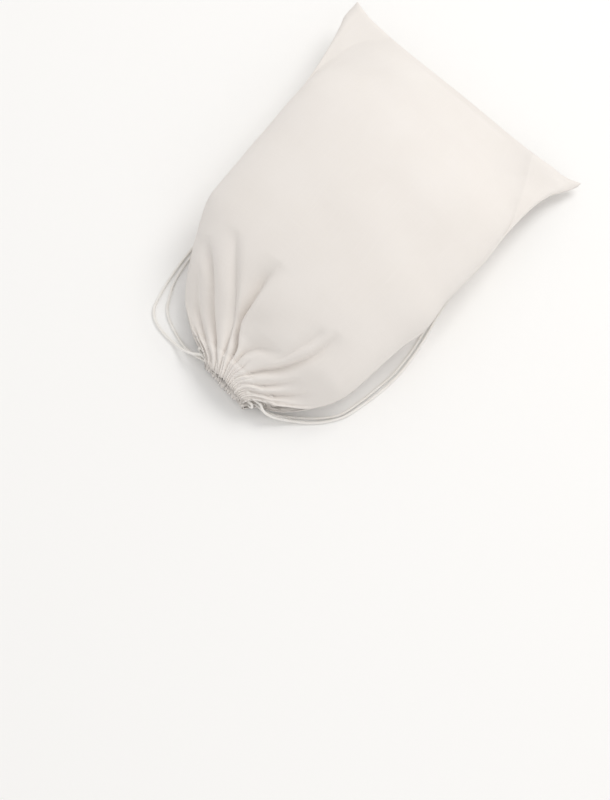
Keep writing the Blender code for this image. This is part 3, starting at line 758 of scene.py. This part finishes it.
# %% Valleys of the front panel
# Each point: along, across (-1 left seam, 1 right seam), left width, right width and
# depth, the last three in millimetres.
FRONT_VALLEYS = [
    [
        (0.000, -0.80, 0.6, 0.6, 1.2), (0.030, -0.72, 0.9, 0.9, 1.6),
        (0.055, -0.77, 1.5, 1.5, 2.0), (0.090, -0.82, 2.4, 2.2, 1.8),
        (0.140, -0.86, 3.6, 3.0, 0.9), (0.180, -0.88, 4.0, 3.5, 0.0),
    ],
    [
        (0.000, -0.56, 0.6, 0.6, 1.3), (0.035, -0.47, 1.0, 1.0, 2.2),
        (0.070, -0.53, 1.8, 1.6, 3.0), (0.120, -0.63, 3.0, 2.4, 3.2),
        (0.163, -0.71, 4.4, 2.8, 3.2), (0.200, -0.79, 5.6, 3.0, 2.6),
        (0.225, -0.84, 6.0, 3.0, 0.0),
    ],
    [
        (0.000, -0.35, 0.6, 0.6, 1.3), (0.040, -0.28, 1.0, 1.0, 2.2),
        (0.065, -0.27, 1.6, 1.4, 2.8), (0.090, -0.28, 2.4, 1.9, 3.0),
        (0.128, -0.33, 3.6, 2.4, 3.0), (0.190, -0.44, 5.2, 3.2, 2.6),
        (0.240, -0.53, 6.5, 3.6, 1.7), (0.275, -0.58, 7.0, 4.0, 0.0),
    ],
    [
        (0.000, -0.12, 0.7, 0.6, 1.5), (0.040, -0.10, 1.2, 0.9, 2.8),
        (0.065, -0.10, 2.0, 1.1, 4.2), (0.095, -0.17, 3.4, 1.2, 5.4),
        (0.122, -0.21, 5.0, 1.3, 5.8), (0.158, -0.19, 6.5, 1.5, 5.6),
        (0.190, -0.17, 7.5, 1.8, 4.8), (0.220, -0.155, 8.0, 2.6, 3.4),
        (0.250, -0.12, 8.5, 4.0, 1.4), (0.275, -0.08, 8.5, 5.0, 0.0),
    ],
    [
        (0.000, 0.02, 0.6, 0.6, 1.3), (0.045, 0.01, 1.0, 1.0, 2.2),
        (0.068, 0.03, 1.8, 1.6, 3.0), (0.082, 0.07, 3.2, 2.0, 3.0),
        (0.095, 0.12, 4.4, 2.2, 2.8), (0.115, 0.25, 5.0, 2.8, 1.8),
        (0.135, 0.40, 5.0, 3.4, 0.0),
    ],
    [
        (0.000, 0.25, 0.6, 0.6, 1.3), (0.040, 0.30, 1.0, 1.0, 2.2),
        (0.065, 0.37, 1.5, 1.6, 3.2), (0.098, 0.48, 1.8, 2.6, 3.8),
        (0.135, 0.56, 2.2, 3.6, 3.7), (0.170, 0.605, 2.6, 4.2, 3.2),
        (0.205, 0.635, 3.2, 4.6, 2.2), (0.245, 0.66, 4.0, 5.0, 0.0),
    ],
    [
        (0.100, 0.36, 2.2, 1.8, 0.0), (0.125, 0.42, 2.8, 2.0, 1.4),
        (0.165, 0.47, 3.6, 2.4, 2.2), (0.200, 0.515, 4.2, 3.0, 1.6),
        (0.230, 0.55, 4.8, 3.4, 0.0),
    ],
    [
        (0.000, 0.45, 0.6, 0.6, 1.2), (0.030, 0.49, 0.9, 0.9, 1.9),
        (0.052, 0.60, 1.3, 1.5, 2.6), (0.075, 0.64, 1.6, 2.2, 2.4),
        (0.098, 0.67, 2.0, 2.8, 1.4), (0.120, 0.69, 2.4, 3.2, 0.0),
    ],
    [
        (0.000, 0.67, 0.6, 0.6, 1.2), (0.022, 0.73, 0.9, 0.9, 2.2),
        (0.043, 0.79, 1.3, 1.6, 3.2), (0.070, 0.82, 1.6, 2.4, 2.8),
        (0.095, 0.84, 2.0, 2.8, 1.4), (0.120, 0.85, 2.4, 3.0, 0.0),
    ],
    [
        (0.000, 0.87, 0.6, 0.6, 1.0), (0.020, 0.91, 0.9, 0.9, 1.4),
        (0.045, 0.93, 1.4, 1.4, 1.6), (0.080, 0.94, 2.0, 2.0, 0.0),
    ],
]
FOLD_GAIN = 1.65
VALLEY_SHARPNESS = 1.35
print("front valleys:", len(FRONT_VALLEYS))


# %% Depth of the valleys at every point of a panel
def half_body_of(along):
    width = section("right", along) - section("left", along)
    return FILLED_WIDTH * (width / 2 - section("flap", along) * ear_share(along))


def valley_depth(valley, along, turn, side):
    """How deep one valley is at each point of a grid of rows by columns."""
    table = np.array(valley)
    places = table[:, 0]
    rows = along[:, 0]
    angles = np.arcsin(np.clip(table[:, 1], -0.995, 0.995))
    middle = smooth_table(places, angles, rows)
    left, right, depth = (
        smooth_table(places, table[:, k], rows) / 1000 for k in (2, 3, 4)
    )
    depth = FOLD_GAIN * depth * (rows >= places[0]) * (rows <= places[-1])
    wide = half_body_of(rows)
    tall = section("crown" if side == FRONT else "belly", rows) * FILLED_HEIGHT
    # Distance along the cloth for each radian round the section, at the valley.
    per_radian = np.hypot(wide * np.cos(middle), tall * np.sin(middle))
    slant = np.gradient(wide * np.sin(middle)) / np.gradient(rows * FILLED_LENGTH)
    shorten = 1 / np.sqrt(1 + slant**2)
    aside = (turn - middle[:, None]) * (per_radian * shorten)[:, None]
    width = np.where(aside < 0, left[:, None], right[:, None])
    return depth[:, None] * np.exp(-np.abs(aside / width) ** VALLEY_SHARPNESS)


def soft_maximum(layers, power=2.5):
    total = np.zeros_like(layers[0])
    for layer in layers:
        total += np.maximum(layer, 0.0) ** power
    return total ** (1 / power)


def small_pleats(valleys, seed, each):
    """Short pleats between the big valleys, with a width and a reach of their own."""
    chance = random.Random(seed)
    starts = [valley for valley in valleys if valley[0][0] == 0.0]
    starts.sort(key=lambda valley: valley[0][1])
    edges = [-0.995] + [valley[0][1] for valley in starts] + [0.995]
    pleats = []
    for low, high in zip(edges, edges[1:]):
        for k in range(each):
            at = low + (high - low) * (k + 1 + chance.uniform(-0.25, 0.25)) / (each + 1)
            reach = chance.uniform(0.042, 0.105)
            drift = at + 0.10 * at + chance.uniform(-0.02, 0.02)
            drift = max(-0.99, min(0.99, drift))
            deep = chance.uniform(0.9, 1.7)
            pleats.append(
                [
                    (0.0, at, 0.40, 0.40, deep * 0.9),
                    (0.4 * reach, (at + drift) / 2, 0.6, 0.6, deep),
                    (reach, drift, 1.3, 1.3, 0.0),
                ]
            )
    return pleats


front_pleats = small_pleats(FRONT_VALLEYS, 7, 2)
print("small pleats:", len(front_pleats))

# %% [markdown]
# ## The cloth panels
#
# Each panel is a fine grid of points: close rows near the rim, where the pleats are a
# millimetre or two across, and wider rows over the smooth body. Every point starts on
# the loft and then moves in or out along the loft's own normal by the folds' depth. A
# Solidify modifier gives the finished sheet its thickness.

# %% Rows and columns of a panel
CLOTH_WALL = 0.0005
RIM_PULL, PULL_REACH = 0.5, 0.006
FLAP_COLUMNS = 5
# Where a row lies, in metres from the rim, and how far apart the rows are up to it.
FRONT_SPANS = [
    (0.016, 0.00035), (0.040, 0.0008), (0.095, 0.0016), (0.235, 0.0028), (0.269, 0.0013),
]
BACK_SPANS = [(0.016, 0.0006), (0.050, 0.0014), (0.235, 0.004), (0.269, 0.002)]


def row_places(spans):
    """Shares of the length for rows that are a given spacing apart up to each place."""
    places, at = [0.0], 0.0
    for until, spacing in spans:
        count = max(1, round((until - at) / spacing))
        places += list(at + (until - at) * np.arange(1, count + 1) / count)
        at = until
    return np.array(places) / FILLED_LENGTH


def column_places(count, flap_count):
    flaps = np.linspace(1.0, 0.0, flap_count, endpoint=False)
    turns = np.linspace(-math.pi / 2, math.pi / 2, count + 1)
    edge = np.full(flap_count, math.pi / 2)
    turn = np.concatenate([-edge, turns, edge])
    flap = np.concatenate([-flaps, np.zeros(count + 1), flaps[::-1]])
    return turn, flap


def panel_skin(side, along, turn, flap):
    """The smooth outer face of a panel, before its folds."""
    x, y, base = plan_place(along, turn, flap)
    rise = PIECE_GAP / 2 + SOLID_WALL + slit_of(along) + swell_of(side, along, turn)
    rise = rise + (HALF_CHANNEL - CLOTH_WALL) * hem_bulge(along)
    return np.stack([x, y, base + side * rise], axis=-1)


def normals_of(points, side):
    across = np.gradient(points, axis=1)
    ahead = np.gradient(points, axis=0)
    normal = np.cross(across, ahead)
    length = np.linalg.norm(normal, axis=-1, keepdims=True)
    return side * normal / np.maximum(length, 1e-12)


print("rows near the rim are", 1000 * FRONT_SPANS[0][1], "mm apart")


# %% Soft lumps, dents and creases of the stuffed body
# In the same form as EAR_DENTS and EAR_CREASES, but only in the front panel.
FRONT_DENTS = [
    (0.0040, -0.1040, 0.007, 0.010, 0.0, 0.0008),
    (0.0060, -0.0960, 0.012, 0.006, 30.0, 0.0012),
    (-0.0060, -0.0760, 0.010, 0.006, 60.0, 0.0010),
]
FRONT_CREASES = [(-0.0300, 0.1330, 0.0400, 0.1320, 0.0040, 0.0006)]
LUMP, LUMP_ROOM = 0.0005, 0.4
CRINKLE, CRINKLE_REACH = 0.00016, 13.0
HEM_EASE, HEM_LIFT = 0.35, 0.0006


def lumps(x, y, phase):
    """Broad unevenness of what fills the bag."""
    wave = np.sin(58 * x + 1.3 + phase) * np.sin(47 * y + 0.7)
    wave += 0.7 * np.sin(93 * x - 61 * y + 2.1 * phase)
    wave += 0.4 * np.sin(131 * y + 52 * x + 0.4)
    return LUMP * wave


def crinkle(along, turn, phase):
    """Small cross wrinkles that the pleats have close to the rim."""
    s = along * FILLED_LENGTH * 1000
    wave = np.sin(3.1 * s + 9.0 * np.sin(11.0 * turn + phase))
    wave = wave + np.sin(5.3 * s + 7.0 * np.sin(17.0 * turn + 2 * phase) + 1.7)
    return CRINKLE * wave * np.exp(-((s / CRINKLE_REACH) ** 2))


print("dents:", len(FRONT_DENTS), "creases:", len(FRONT_CREASES))


# %% A finished panel
def fold_depth(side, along, turn, valleys, pleats):
    big = soft_maximum([valley_depth(v, along, turn, side) for v in valleys])
    small = soft_maximum([valley_depth(v, along, turn, side) for v in pleats])
    return soft_maximum([big, small])


def panel_points(side, along, turn, flap, valleys, pleats, phase):
    """Outer points of a panel, its folds included, and how deep they are."""
    along, turn, flap = along[:, None], turn[None, :], flap[None, :]
    points = panel_skin(side, along, turn, flap)
    normal = normals_of(points, side)
    on_body = (flap == 0.0) * np.ones_like(points[..., 0])
    depth = fold_depth(side, along, turn, valleys, pleats)
    in_hem = 1 - smooth_step(0.75, 1.0, along / CASING_SHARE)
    relief = -depth * (1 - HEM_EASE * in_hem) + HEM_LIFT * in_hem
    relief = relief + crinkle(along, turn, phase)
    body = smooth_step(0.10, 0.30, along) * (1 - smooth_step(0.90, 1.0, along))
    uneven = lumps(points[..., 0], points[..., 1], phase) * body
    # Where the two panels come together, no lump is higher than the room for it.
    room = LUMP_ROOM * swell_of(side, along, turn)
    relief = (relief + np.clip(uneven, -room, room)) * on_body
    if side == FRONT:
        inner = 1 - np.abs(flap)
        relief -= inner * dent_depth(points[..., 0], points[..., 1], FRONT_DENTS)
        relief -= inner * crease_depth(points[..., 0], points[..., 1], FRONT_CREASES)
    points = points + normal * relief[..., None]
    # The rim is pulled back into the bag where a pleat folds inwards.
    pull = RIM_PULL * depth * np.exp(-((along * FILLED_LENGTH / PULL_REACH) ** 2))
    points[..., 1] += pull
    return points, relief


# The seam: how far the panels' edges reach past it, and half of what parts them.
EDGE_REACH, SEAM_HALF = 0.0004, 0.00005


def close_edges(points, side, along, turn, flap):
    """Adds a column at each side where the panel comes down to the seam line."""
    closing = smooth_step(PANEL_START, PANEL_START + CASING_SHARE, along)
    columns = []
    for k in (0, -1):
        edge = points[:, k].copy()
        turns, flaps = np.full_like(along, turn[k]), np.full_like(along, flap[k])
        _, _, base = plan_place(along, turns, flaps)
        edge[:, 0] += (1 if k else -1) * EDGE_REACH
        edge[:, 2] += closing * (base + side * SEAM_HALF - edge[:, 2])
        columns.append(edge[:, None])
    return np.concatenate([columns[0], points, columns[1]], axis=1)


def add_sheet(name, points, flat, side, wall, material):
    """A sheet of cloth from a grid of points, with its flat pattern as a UV map."""
    rows, columns = points.shape[:2]
    index = np.arange(rows * columns).reshape(rows, columns)
    quads = np.stack(
        [index[:-1, :-1], index[:-1, 1:], index[1:, 1:], index[1:, :-1]], axis=-1
    ).reshape(-1, 4)
    if side < 0:
        quads = quads[:, ::-1]
    mesh = bpy.data.meshes.new(name + "_grid")
    mesh.from_pydata(points.reshape(-1, 3).tolist(), [], quads.tolist())
    layer = mesh.uv_layers.new(name="cloth")
    corner = np.array([loop.vertex_index for loop in mesh.loops])
    layer.data.foreach_set("uv", flat.reshape(-1, 2)[corner].astype(np.float32).ravel())
    mesh.materials.append(material)
    thing = bpy.data.objects.new(name + "_grid", mesh)
    bpy.context.scene.collection.objects.link(thing)
    thick = thing.modifiers.new("wall", "SOLIDIFY")
    thick.thickness = wall
    thick.offset = -1.0
    thick.use_rim = True
    plain = plain_mesh(thing, name)
    bpy.data.objects.remove(thing, do_unlink=True)
    return plain


def plain_mesh(thing, name):
    """A new object that holds what the modifiers of another one make."""
    graph = bpy.context.evaluated_depsgraph_get()
    graph.update()
    mesh = bpy.data.meshes.new_from_object(
        thing.evaluated_get(graph), preserve_all_data_layers=True, depsgraph=graph
    )
    mesh.name = name
    mesh.shade_smooth()
    made = bpy.data.objects.new(name, mesh)
    bpy.context.scene.collection.objects.link(made)
    return made


FLAT_WIDTH, FLAT_LENGTH, FLAT_FLAP = 0.203, 0.305, 0.04
# The turned edge past the bottom seam: its width, half its thickness and its round.
SEAM_RIDGE, RIDGE_HALF, RIDGE_ROUND = 0.003, 0.0004, 0.0003
FLOOR_CLEARANCE = 0.00002


def flat_pattern(along, turn, flap):
    """Where each point of a panel lies on the cloth before it was sewn."""
    share = turn[None, :] / math.pi + 0.5 + FLAT_FLAP * flap[None, :]
    u = share * FLAT_WIDTH * np.ones((len(along), 1))
    v = along[:, None] * FLAT_LENGTH * np.ones((1, len(turn)))
    return np.stack([u, v], axis=-1)


def make_panel(name, side, spans, columns, valleys, pleats, phase):
    along = row_places(spans)
    turn, flap = column_places(columns, FLAP_COLUMNS)
    points, relief = panel_points(side, along, turn, flap, valleys, pleats, phase)
    lowest = FLOOR_CLEARANCE if side == BACK else CLOTH_WALL
    points[..., 2] = np.maximum(points[..., 2], lowest)
    closed = close_edges(points, side, along, turn, flap)
    flat = flat_pattern(along, turn, flap)
    flat = np.concatenate([flat[:, :1], flat, flat[:, -1:]], axis=1)
    # The bottom seam: the last rows run flat past it and meet the other panel.
    ridge = closed[-1:].copy()
    ridge[..., 1] += SEAM_RIDGE
    _, _, base = plan_place(np.ones((1, 1)), turn[None, :], flap[None, :])
    base = np.concatenate([base[:, :1], base, base[:, -1:]], axis=1)
    ridge[..., 2] = base + side * RIDGE_HALF
    nose = ridge.copy()
    nose[..., 1] += RIDGE_ROUND
    nose[..., 2] = base + side * SEAM_HALF
    closed = np.concatenate([closed, ridge, nose])
    past = [flat[-1:] + (0, SEAM_RIDGE), flat[-1:] + (0, SEAM_RIDGE + 0.0005)]
    flat = np.concatenate([flat] + past)
    sheet = add_sheet(name, closed, flat, side, CLOTH_WALL, muslin)
    print(name, closed.shape[:2], "deepest fold", round(-1000 * relief.min(), 1), "mm")
    return sheet


front_cloth = make_panel(
    "front_cloth", FRONT, FRONT_SPANS, 250, FRONT_VALLEYS, front_pleats, 0.0
)

# %% [markdown]
# The back panel is the same cloth, seen only from below and at the neck. Its folds
# don't have to match a picture, so its valleys come from a rule with a fixed seed.


# %% The back panel
def back_valleys(seed, count):
    chance = random.Random(seed)
    valleys = []
    for k in range(count):
        at = -0.9 + 1.8 * (k + 0.5 + chance.uniform(-0.2, 0.2)) / count
        spread = max(-0.98, min(0.98, at * 1.06))
        reach = chance.uniform(0.13, 0.24)
        deep = chance.uniform(2.0, 3.2)
        valleys.append(
            [
                (0.0, at, 0.7, 0.7, 1.3),
                (0.06, at, 1.6, 1.6, deep),
                (0.5 * (0.06 + reach), spread, 2.8, 2.8, deep * 0.8),
                (reach, spread, 4.5, 4.5, 0.0),
            ]
        )
    return valleys


BACK_VALLEYS = back_valleys(11, 8)
back_pleats = small_pleats(BACK_VALLEYS, 13, 1)
back_cloth = make_panel(
    "back_cloth", BACK, BACK_SPANS, 150, BACK_VALLEYS, back_pleats, 1.9
)

# %% [markdown]
# ## The hems
#
# The hem is the same cloth turned back over the cords and sewn down, so all that it
# adds is the inner leaf: it starts at the rim, hangs close to the other panel's inner
# leaf, and joins the outer cloth again at the stitch line.


# %% Inner leaves of the hems
LEAF_ROWS, LEAF_REACH, LEAF_WALL, LEAF_GAP = 26, 1.04, 0.0003, 0.0004
# The share of the folds that the inner leaf still has away from the rim.
LEAF_FOLDS = 0.25


def make_hem(name, side, columns, valleys, pleats, phase):
    along = np.linspace(0.0, CASING_SHARE * LEAF_REACH, LEAF_ROWS)
    turn = np.linspace(-math.pi / 2, math.pi / 2, columns + 1)
    flap = np.zeros_like(turn)
    outer, relief = panel_points(side, along, turn, flap, valleys, pleats, phase)
    grid_along, grid_turn = along[:, None], turn[None, :]
    _, _, base = plan_place(grid_along, grid_turn, 0.0)
    swell = swell_of(side, grid_along, grid_turn)
    depth = grid_along / CASING_SHARE
    low = hem_nose(depth) * (1 - smooth_step(0.80, 1.0, depth))
    start = PIECE_GAP / 2 + HALF_CHANNEL
    rise = start - (start - LEAF_GAP) * low + swell
    keep = LEAF_FOLDS + (1 - LEAF_FOLDS) * np.exp(-((depth / 0.12) ** 2))
    leaf = outer.copy()
    leaf[..., 2] = base + side * (rise + keep * relief)
    leaf[0, :, 2] = outer[0, :, 2]
    flat = flat_pattern(along, turn, flap)
    flat[..., 1] *= -1
    made = add_sheet(name, leaf, flat, -side, LEAF_WALL, muslin)
    print(name, leaf.shape[:2])
    return made


front_hem = make_hem("front_hem", FRONT, 200, FRONT_VALLEYS, front_pleats, 0.0)
back_hem = make_hem("back_hem", BACK, 120, BACK_VALLEYS, back_pleats, 1.9)


# %% The cords themselves
# Both ends of a cord run side by side through its knot.
KNOT_STRAND, KNOT_SPREAD = 0.0017, 0.0008


def set_input(modifier, name, value):
    """Sets a node tree's input by the identifier of its socket."""
    for item in modifier.node_group.interface.items_tree:
        if item.name == name and item.in_out == "INPUT":
            modifier[item.identifier] = value


def add_path(name, points):
    curve = bpy.data.curves.new(name, "CURVE")
    curve.dimensions = "3D"
    spline = curve.splines.new("POLY")
    spline.points.add(len(points) - 1)
    spline.points.foreach_set("co", np.c_[points, np.ones(len(points))].ravel())
    thing = bpy.data.objects.new(name, curve)
    bpy.context.scene.collection.objects.link(thing)
    return thing


def twist_cord(name, points, diameter=CORD_DIAMETER):
    path = add_path(name + "_path", points)
    modifier = path.modifiers.new("cord", "NODES")
    modifier.node_group = cord_tree
    set_input(modifier, "Diameter", diameter)
    set_input(modifier, "Material", cord_cotton)
    made = plain_mesh(path, name)
    bpy.data.objects.remove(path, do_unlink=True)
    return made


def beside(points, offset):
    """A path that keeps to one side of another, level with it."""
    heading = np.gradient(points, axis=0)
    across = np.stack([-heading[:, 1], heading[:, 0], np.zeros(len(points))], axis=1)
    across /= np.maximum(np.linalg.norm(across, axis=1, keepdims=True), 1e-9)
    return points + across * offset


pieces = {}
for name, parts in CORDS.items():
    for part in ("front_strand", "back_strand", "in_casing"):
        key = f"{name}_cord_{part}"
        pieces[key] = twist_cord(key, parts[part])
    knot = parts["knot"]
    halves = [
        twist_cord("half", beside(knot, aside), KNOT_STRAND)
        for aside in (-KNOT_SPREAD, KNOT_SPREAD)
    ]
    joined = bmesh.new()
    for half in halves:
        joined.from_mesh(half.data)
        bpy.data.objects.remove(half, do_unlink=True)
    mesh = bpy.data.meshes.new(f"{name}_knot")
    joined.to_mesh(mesh)
    joined.free()
    mesh.materials.append(cord_cotton)
    pieces[f"{name}_knot"] = bpy.data.objects.new(f"{name}_knot", mesh)
    bpy.context.scene.collection.objects.link(pieces[f"{name}_knot"])
print({key: len(thing.data.polygons) for key, thing in pieces.items()})

# %% [markdown]
# ## Stitches
#
# A row of lockstitches holds each hem down. Every stitch is the same short piece of
# thread, so a node tree lays copies of one along a line: it cuts the line into equal
# steps, puts a small rounded rod on each step and turns it the way that the line goes.


# %% Node tree: a row of stitches
STITCH_PITCH, STITCH_LENGTH, THREAD_THICKNESS = 0.0014, 0.0010, 0.00022
ROD_SEGMENTS, ROD_RINGS = 6, 5


def build_stitch_tree():
    tree = bpy.data.node_groups.new("stitch_row", "GeometryNodeTree")
    add_socket(tree, "Line", GEOMETRY)
    add_socket(tree, "Pitch", NUMBER, STITCH_PITCH)
    add_socket(tree, "Stitch length", NUMBER, STITCH_LENGTH)
    add_socket(tree, "Thread", NUMBER, THREAD_THICKNESS)
    add_socket(tree, "Material", "NodeSocketMaterial")
    add_socket(tree, "Row", GEOMETRY, out=True)
    given = add_node(tree, "NodeGroupInput").outputs
    inputs = {"Curve": given["Line"], "Length": given["Pitch"]}
    points = add_node(tree, "GeometryNodeCurveToPoints", inputs, mode="LENGTH")
    inputs = {"Segments": ROD_SEGMENTS, "Rings": ROD_RINGS, "Radius": 0.5}
    rod = add_node(tree, "GeometryNodeMeshUVSphere", inputs)
    inputs = {"X": given["Thread"], "Y": given["Thread"], "Z": given["Stitch length"]}
    size = add_node(tree, "ShaderNodeCombineXYZ", inputs)
    inputs = {
        "Points": points.outputs["Points"],
        "Instance": rod.outputs["Mesh"],
        "Rotation": points.outputs["Rotation"],
        "Scale": size.outputs[0],
    }
    copies = add_node(tree, "GeometryNodeInstanceOnPoints", inputs)
    finish_tree(tree, copies.outputs[0], given["Material"])
    return tree


stitch_tree = build_stitch_tree()
STITCHED_TURN, STITCH_SAMPLES, STITCH_LIFT = 1.45, 700, 0.00008


def stitch_row(name, line):
    path = add_path(name + "_path", line)
    modifier = path.modifiers.new("stitches", "NODES")
    modifier.node_group = stitch_tree
    set_input(modifier, "Material", thread_cotton)
    made = plain_mesh(path, name)
    bpy.data.objects.remove(path, do_unlink=True)
    return made


def hem_line(side, valleys, pleats, phase):
    """The hem's stitch line, just above the outer cloth and into each pleat."""
    along = np.linspace(0.90, 1.10, 5) * CASING_SHARE
    turn = np.linspace(-STITCHED_TURN, STITCHED_TURN, STITCH_SAMPLES)
    points, _ = panel_points(side, along, turn, turn * 0, valleys, pleats, phase)
    lifted = points + normals_of(points, side) * STITCH_LIFT
    return lifted[2]


front_stitches = stitch_row(
    "front_hem_stitches", hem_line(FRONT, FRONT_VALLEYS, front_pleats, 0.0)
)
back_stitches = stitch_row(
    "back_hem_stitches", hem_line(BACK, BACK_VALLEYS, back_pleats, 1.9)
)
print("stitches:", len(front_stitches.data.polygons) // (ROD_SEGMENTS * ROD_RINGS))

# %% [markdown]
# ## The pieces on the body
#
# Each piece rides on the one body, and the solid that it stands for is hidden. The rows
# of stitches ride on the body too.

# %% Pieces, cords and sheets
NODES = {
    "front_cloth": ("front_panel",),
    "back_cloth": ("back_panel",),
    "front_hem": ("front_casing",),
    "back_hem": ("back_casing",),
}
for name in CORDS:
    for part in ("front_strand", "back_strand", "in_casing"):
        NODES[f"{name}_cord_{part}"] = (f"{name}_drawcord_{part}",)
    NODES[f"{name}_knot"] = (f"{name}_drawcord_knot",)
threads = {thing.name: thing for thing in (front_stitches, back_stitches)}
sheets = {s.name: s for s in (front_cloth, back_cloth, front_hem, back_hem)}
everything = {**sheets, **pieces}
for name, piece in everything.items():
    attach(piece, "root")
    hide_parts(*NODES[name])
for piece in threads.values():
    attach(piece, "root")
